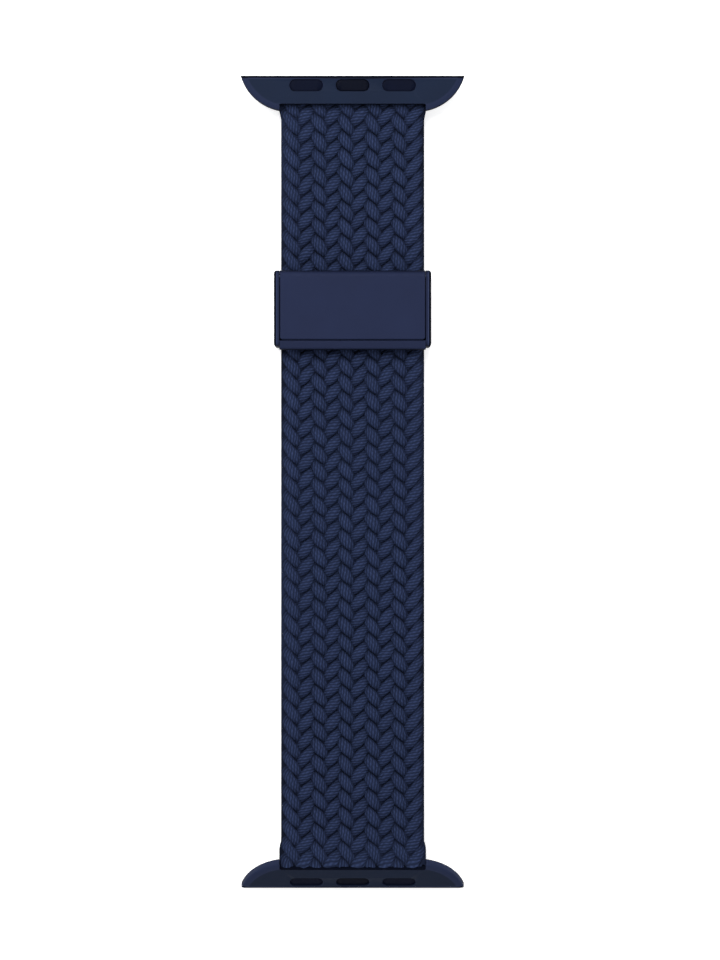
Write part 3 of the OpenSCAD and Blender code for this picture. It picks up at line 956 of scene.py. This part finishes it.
class STRAP_OT_front_braid(bpy.types.Operator):
    """Braid from the bonded tail round the lower bar, up the front and round the upper bar"""

    bl_idname = "strap.front_braid"
    bl_label = "Front braid"

    def execute(self, context):
        piece = braid_piece("front_braid", 0, STRIP_JOIN)
        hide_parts("front_band", "front_band_upper", "upper_fold", "lower_fold")
        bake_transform(piece)
        return {"FINISHED"}


class STRAP_OT_return_braid(bpy.types.Operator):
    """Braid behind the front run, from the upper fold into the end clip"""

    bl_idname = "strap.return_braid"
    bl_label = "Return braid"

    def execute(self, context):
        piece = braid_piece("return_braid", STRIP_JOIN, STRIP_END)
        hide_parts("return_band", "band_end")
        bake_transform(piece)
        return {"FINISHED"}


# Rigid pieces


def broken_edges(node, name, body, finishes, width, front=UPPER_FACE, angle=30, cuts=()):
    """A copy of a rigid node with its sharp edges broken, the new facets in the last finish, which on the
    adapters and the buckle frame is painted edge shade.

    Faces are divided at the cuts, which are planes given by a point and a direction."""
    select_only(NODES[node])
    bpy.ops.object.duplicate()
    made = bpy.context.object
    made.parent = None
    made.matrix_world = Matrix.Identity(4)
    for key in list(made.keys()):
        del made[key]
    made.name = made.data.name = name
    select_only(made)
    bpy.ops.mesh.customdata_custom_splitnormals_clear()
    edit(made)
    bpy.ops.mesh.remove_doubles(threshold=1e-6)
    bpy.ops.mesh.dissolve_limited(angle_limit=math.radians(0.4), delimit=set())
    for point, direction in cuts:
        cut(point, direction)
    leave_edit()
    mesh = made.data
    mesh.materials.clear()
    for finish_name in finishes:
        mesh.materials.append(finish(finish_name))
    bevel = made.modifiers.new("Broken edges", "BEVEL")
    bevel.width = width
    bevel.segments = 2
    bevel.limit_method = "ANGLE"
    bevel.angle_limit = math.radians(angle)
    bevel.use_clamp_overlap = False
    bevel.loop_slide = False
    bevel.material = len(finishes) - 1
    bpy.ops.object.modifier_apply(modifier=bevel.name)
    nearly_flat = 0.97
    for face in mesh.polygons:
        if abs(face.normal.dot(front)) > nearly_flat:
            face.material_index = 0
    edit(made)
    bpy.ops.mesh.remove_doubles(threshold=0.006 * MM)
    bpy.ops.mesh.select_all(action="DESELECT")
    bpy.ops.mesh.select_mode(type="FACE")
    bpy.ops.mesh.select_face_by_sides(number=4, type="GREATER", extend=False)
    bpy.ops.mesh.quads_convert_to_tris(quad_method="BEAUTY", ngon_method="BEAUTY")
    leave_edit()
    bpy.ops.object.shade_smooth_by_angle(angle=math.radians(35))
    weighted = made.modifiers.new("Weighted normals", "WEIGHTED_NORMAL")
    weighted.keep_sharp = True
    bpy.ops.object.modifier_apply(modifier=weighted.name)
    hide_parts(node)
    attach(made, body)
    return made


def finish_adapter(mesh, bar, front, outward, dark, light):
    """Put painted shade on the lip, as its shadow, and on the outer edge and outline, and mark the rounded
    rims for the painted highlight.

    Dark and light are distances outwards from the bar, where the painted shade outline and the painted
    highlight line start."""
    flat_share = 0.9995
    flat = {v for face in mesh.polygons if abs(face.normal.dot(front)) > flat_share for v in face.vertices}
    layer = mesh.attributes.new("rim", "FLOAT", "CORNER")
    for face in mesh.polygons:
        lean, turn = face.normal.dot(outward), face.normal.dot(front)
        wing = abs(face.center.x) > BAND_W / 2
        out = (face.center - bar).dot(outward)
        lip = not wing and lean < -0.2 and out < 0.2 * MM
        outer_edge_shade = lean > 0.25 and turn > 0.1
        outline = out > dark and turn > 0.5
        highlight_line = light < out < dark and turn > 0.5
        if lip or outer_edge_shade or outline:
            face.material_index = 1
        elif abs(turn) > 0.5:
            face.material_index = 0
        for corner, vertex in zip(face.loop_indices, face.vertices):
            rounded = abs(turn) < flat_share and (vertex not in flat if wing else turn > 0.3)
            layer.data[corner].value = float((rounded and not lip) or highlight_line)


class STRAP_OT_adapters(bpy.types.Operator):
    """Adapter bodies with broken edges, and the steel bars in them"""

    bl_idname = "strap.adapters"
    bl_label = "Adapters"

    def execute(self, context):
        edge = context.scene.strap_metal.edge
        for side in ("upper", "lower"):
            node = f"{side}_lug_body"
            finishes = (f"navy_{side}", "navy_edge_shade")
            front, bar = (UPPER_FACE, UPPER_BAR) if side == "upper" else (LOWER_FACE, LOWER_BAR)
            outward = front.cross(ACROSS) * (1 if bar.y > 0 else -1)
            place = NODES[node].matrix_world
            reach = max((place @ vertex.co - bar).dot(outward) for vertex in NODES[node].data.vertices)
            dark = reach - END_OUTLINE
            light = dark - HIGHLIGHT_LINE
            cuts = [(bar + outward * distance, outward) for distance in (dark, light)]
            body = broken_edges(
                node, f"{side}_adapter", f"{side}_lug", finishes, edge, front, cuts=cuts
            )
            finish_adapter(body.data, bar, front, outward, dark, light)
            dress(f"{side}_lug_bar", "steel")
            dress(f"{side}_latch_springs", "steel")
        return {"FINISHED"}


class STRAP_OT_inserts(bpy.types.Operator):
    """Rubber side pads and sprung latch buttons in the pill shaped pockets"""

    bl_idname = "strap.inserts"
    bl_label = "Inserts"

    def execute(self, context):
        for side in ("upper", "lower"):
            for hand in ("left", "right"):
                broken_edges(
                    f"{side}_{hand}_pad",
                    f"{side}_{hand}_insert",
                    f"{side}_lug",
                    ("insert",),
                    INSERT_EDGE,
                )
            broken_edges(
                f"{side}_latch_button",
                f"{side}_button",
                f"{side}_latch",
                ("button",),
                INSERT_EDGE,
            )
        return {"FINISHED"}


class STRAP_OT_buckle(bpy.types.Operator):
    """Buckle frame, its pins, the ribbed grip pad and the end clip"""

    bl_idname = "strap.buckle"
    bl_label = "Buckle"

    def execute(self, context):
        edge = context.scene.strap_metal.edge
        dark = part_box("buckle_frame")[1].x - WALL_OUTLINE
        light = dark - HIGHLIGHT_LINE
        body = broken_edges(
            "buckle_frame",
            "buckle_body",
            "buckle",
            ("navy_frame", "navy_edge_shade"),
            FINE_EDGE * edge,
            angle=50,
            cuts=[(ACROSS * distance, ACROSS) for distance in (-light, -dark, dark, light)],
        )
        # The walls have a painted shade outline and a painted highlight line inside it
        layer = body.data.attributes.new("rim", "FLOAT", "CORNER")
        for face in body.data.polygons:
            side = abs(face.center.x)
            if side > dark and abs(face.normal.x) < 0.99 and face.normal.z > -0.1:
                face.material_index = 1
            for corner in face.loop_indices:
                layer.data[corner].value = float(light < side < dark and face.normal.z > 0.5)
        broken_edges("grip_pad", "ribbed_pad", "buckle", ("insert",), RIB_EDGE)
        broken_edges("end_clip", "folded_clip", "buckle", ("steel",), CLIP_EDGE)
        broken_edges("tail_bond_strip", "bond_film", "root", ("bond",), FILM_EDGE)
        for pin in ("back_bar", "cover_pin"):
            dress(pin, "dark_steel")
        return {"FINISHED"}


class STRAP_OT_cover(bpy.types.Operator):
    """Flip cover with its toothed jaw and rivets"""

    bl_idname = "strap.cover"
    bl_label = "Cover and jaw"

    def execute(self, context):
        edge = context.scene.strap_metal.edge
        lid = broken_edges("flip_cover", "cover", "cover", ("navy",), FINE_EDGE * edge)
        # The drawn cover comes a hair nearer to the walls and the crossbar than the solid
        side_gain, end_gain = edge, 1.1 * edge
        low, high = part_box("flip_cover")
        wider = 1 + 2 * side_gain / BAND_W
        longer = 1 + end_gain / (high.y - low.y)
        hinge_end = Matrix.Translation((0, high.y, 0))
        lid.data.transform(hinge_end @ Matrix.Diagonal((wider, longer, 1, 1)) @ hinge_end.inverted())
        dress("toothed_jaw", "steel")
        dress("jaw_rivets", "steel")
        return {"FINISHED"}


# Stage


def softbox(name, at, size, power):
    """A square area light that faces the middle of the strap."""
    bpy.ops.object.light_add(type="AREA", location=at)
    lamp = bpy.context.object
    lamp.name = name
    lamp.data.size = size
    lamp.data.energy = power
    lamp.rotation_euler = (-Vector(at)).to_track_quat("-Z", "Y").to_euler()


def floor_material():
    """Pale matt board with a faint mottle."""
    made, tree, shader = new_material("Pale board")
    group = grained(tree, 900, 12)
    tone = between(tree, group.outputs["Cloud"], (0.86, 0.86, 0.865), (0.9, 0.9, 0.9))
    join(tree, (tone, shader.inputs["Base Color"]))
    shader.inputs["Roughness"].default_value = 0.9
    shader.inputs["Specular IOR Level"].default_value = 0.1
    shader.inputs["Emission Color"].default_value = (1, 1, 1, 1)
    shader.inputs["Emission Strength"].default_value = 0.62
    return made


class STRAP_OT_stage(bpy.types.Operator):
    """Pale floor, soft studio light and the camera that looks straight down on the strap"""

    bl_idname = "strap.stage"
    bl_label = "Stage"

    def execute(self, context):
        scene = context.scene
        settings = scene.strap_stage
        below = 0.05 * MM
        bpy.ops.mesh.primitive_plane_add(size=4, location=(0, 0, -below))
        floor = context.object
        floor.name = "studio_floor"
        floor.data.materials.append(floor_material())
        softbox("Key softbox", (-0.06, 0.22, 0.40), 0.26, settings.key)
        softbox("Left softbox", (-0.45, 0, 0.22), 0.3, settings.fill)
        softbox("Right softbox", (0.45, 0, 0.22), 0.3, settings.fill)
        softbox("Front softbox", (0, -0.8, 0.5), 0.6, settings.front)
        world = bpy.data.worlds.new("Studio")
        world.use_nodes = True
        sky = world.node_tree.nodes["Background"]
        sky.inputs["Color"].default_value = (1, 1, 1, 1)
        sky.inputs["Strength"].default_value = settings.sky
        scene.world = world
        scene.view_settings.view_transform = "Standard"
        bpy.ops.object.camera_add(location=settings.camera_at, rotation=(0, 0, 0))
        camera = context.object
        camera.name = "Photo camera"
        camera.data.sensor_fit = "VERTICAL"
        camera.data.sensor_height = 24
        camera.data.lens = settings.lens
        camera.data.clip_start = 0.01
        scene.camera = camera
        return {"FINISHED"}


# Panel and start

PIECES = (
    STRAP_OT_stage,
    STRAP_OT_front_braid,
    STRAP_OT_return_braid,
    STRAP_OT_adapters,
    STRAP_OT_inserts,
    STRAP_OT_buckle,
    STRAP_OT_cover,
)


class STRAP_PT_pieces(bpy.types.Panel):
    """Settings and pieces of the watch strap"""

    bl_idname = "STRAP_PT_pieces"
    bl_label = "Watch Strap"
    bl_space_type = "VIEW_3D"
    bl_region_type = "UI"
    bl_category = "Watch Strap"

    def draw(self, context):
        layout = self.layout
        for settings in (context.scene.strap_braid, context.scene.strap_metal, context.scene.strap_stage):
            box = layout.box()
            for name in settings.__annotations__:
                box.prop(settings, name)
        for piece in PIECES:
            layout.operator(piece.bl_idname)


CLASSES = (BraidSettings, MetalSettings, StageSettings, *PIECES, STRAP_PT_pieces)


def register():
    """Register the classes and hang the settings on the scene."""
    for cls in CLASSES:
        bpy.utils.register_class(cls)
    bpy.types.Scene.strap_braid = bpy.props.PointerProperty(type=BraidSettings)
    bpy.types.Scene.strap_metal = bpy.props.PointerProperty(type=MetalSettings)
    bpy.types.Scene.strap_stage = bpy.props.PointerProperty(type=StageSettings)


def unregister():
    """Take back what register did."""
    del bpy.types.Scene.strap_stage
    del bpy.types.Scene.strap_metal
    del bpy.types.Scene.strap_braid
    for cls in reversed(CLASSES):
        bpy.utils.unregister_class(cls)


def main():
    """Build the stage and all the pieces."""
    register()
    bpy.ops.strap.stage()
    bpy.ops.strap.front_braid()
    bpy.ops.strap.return_braid()
    bpy.ops.strap.adapters()
    bpy.ops.strap.inserts()
    bpy.ops.strap.buckle()
    bpy.ops.strap.cover()


if __name__ == "__main__":
    main()
